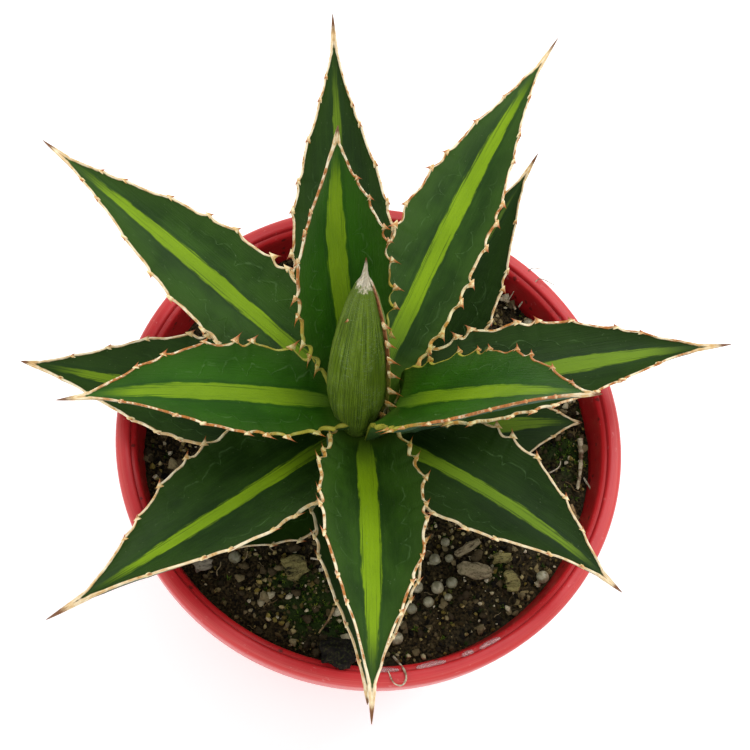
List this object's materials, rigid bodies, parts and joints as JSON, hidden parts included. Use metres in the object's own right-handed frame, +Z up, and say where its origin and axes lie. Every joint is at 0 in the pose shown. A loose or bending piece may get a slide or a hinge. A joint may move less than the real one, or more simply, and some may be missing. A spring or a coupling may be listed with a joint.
{
  "type": "potted agave",
  "caption": "Rosette agave with dark green, light-striped leaves, toothed pale margins and tip spines, growing in a round red plastic nursery pot of soil.",
  "frame": {"origin": "centre of the pot's flat base", "axes": "+Z up out of the pot, +X to the right of the front view, -Y towards the viewer of the front view"},
  "size_m": [0.1934, 0.1923, 0.2159],
  "materials": {
    "pot_red": "satin moulded red plastic",
    "soil_dark": "damp bark potting mix with moss",
    "stem_pale": "pale fibrous stem",
    "bud_green": "matt waxy green with fine ribs",
    "leaf_inner": "waxy green, light stripe, cream margin",
    "leaf_outer": "waxy dark green, light stripe, cream margin",
    "prill_tan": "dull coated beads",
    "bark_brown": "weathered bark",
    "twig_grey": "dry grey wood"
  },
  "bodies": {
    "root": {"pot": "pot_red", "soil": "soil_dark", "stem": "stem_pale", "bud": "bud_green", "leaf_01": "leaf_inner", "leaf_02": "leaf_inner", "leaf_03": "leaf_inner", "leaf_04": "leaf_outer", "leaf_05": "leaf_outer", "leaf_06": "leaf_outer", "leaf_07": "leaf_outer", "leaf_08": "leaf_outer", "leaf_09": "leaf_outer", "leaf_10": "leaf_outer", "leaf_11": "leaf_outer", "leaf_12": "leaf_outer", "leaf_13": "leaf_outer", "leaf_14": "leaf_outer", "leaf_15": "leaf_outer", "prill_01": "prill_tan", "prill_02": "prill_tan", "prill_03": "prill_tan", "prill_04": "prill_tan", "prill_05": "prill_tan", "prill_06": "prill_tan", "prill_07": "prill_tan", "prill_08": "prill_tan", "prill_09": "prill_tan", "prill_10": "prill_tan", "prill_11": "prill_tan", "prill_12": "prill_tan", "prill_13": "prill_tan", "bark_01": "bark_brown", "bark_02": "bark_brown", "bark_03": "bark_brown", "bark_04": "bark_brown", "bark_05": "bark_brown", "bark_06": "bark_brown", "bark_lump": "bark_brown", "twig_01": "twig_grey", "twig_02": "twig_grey"}
  },
  "joints": []
}
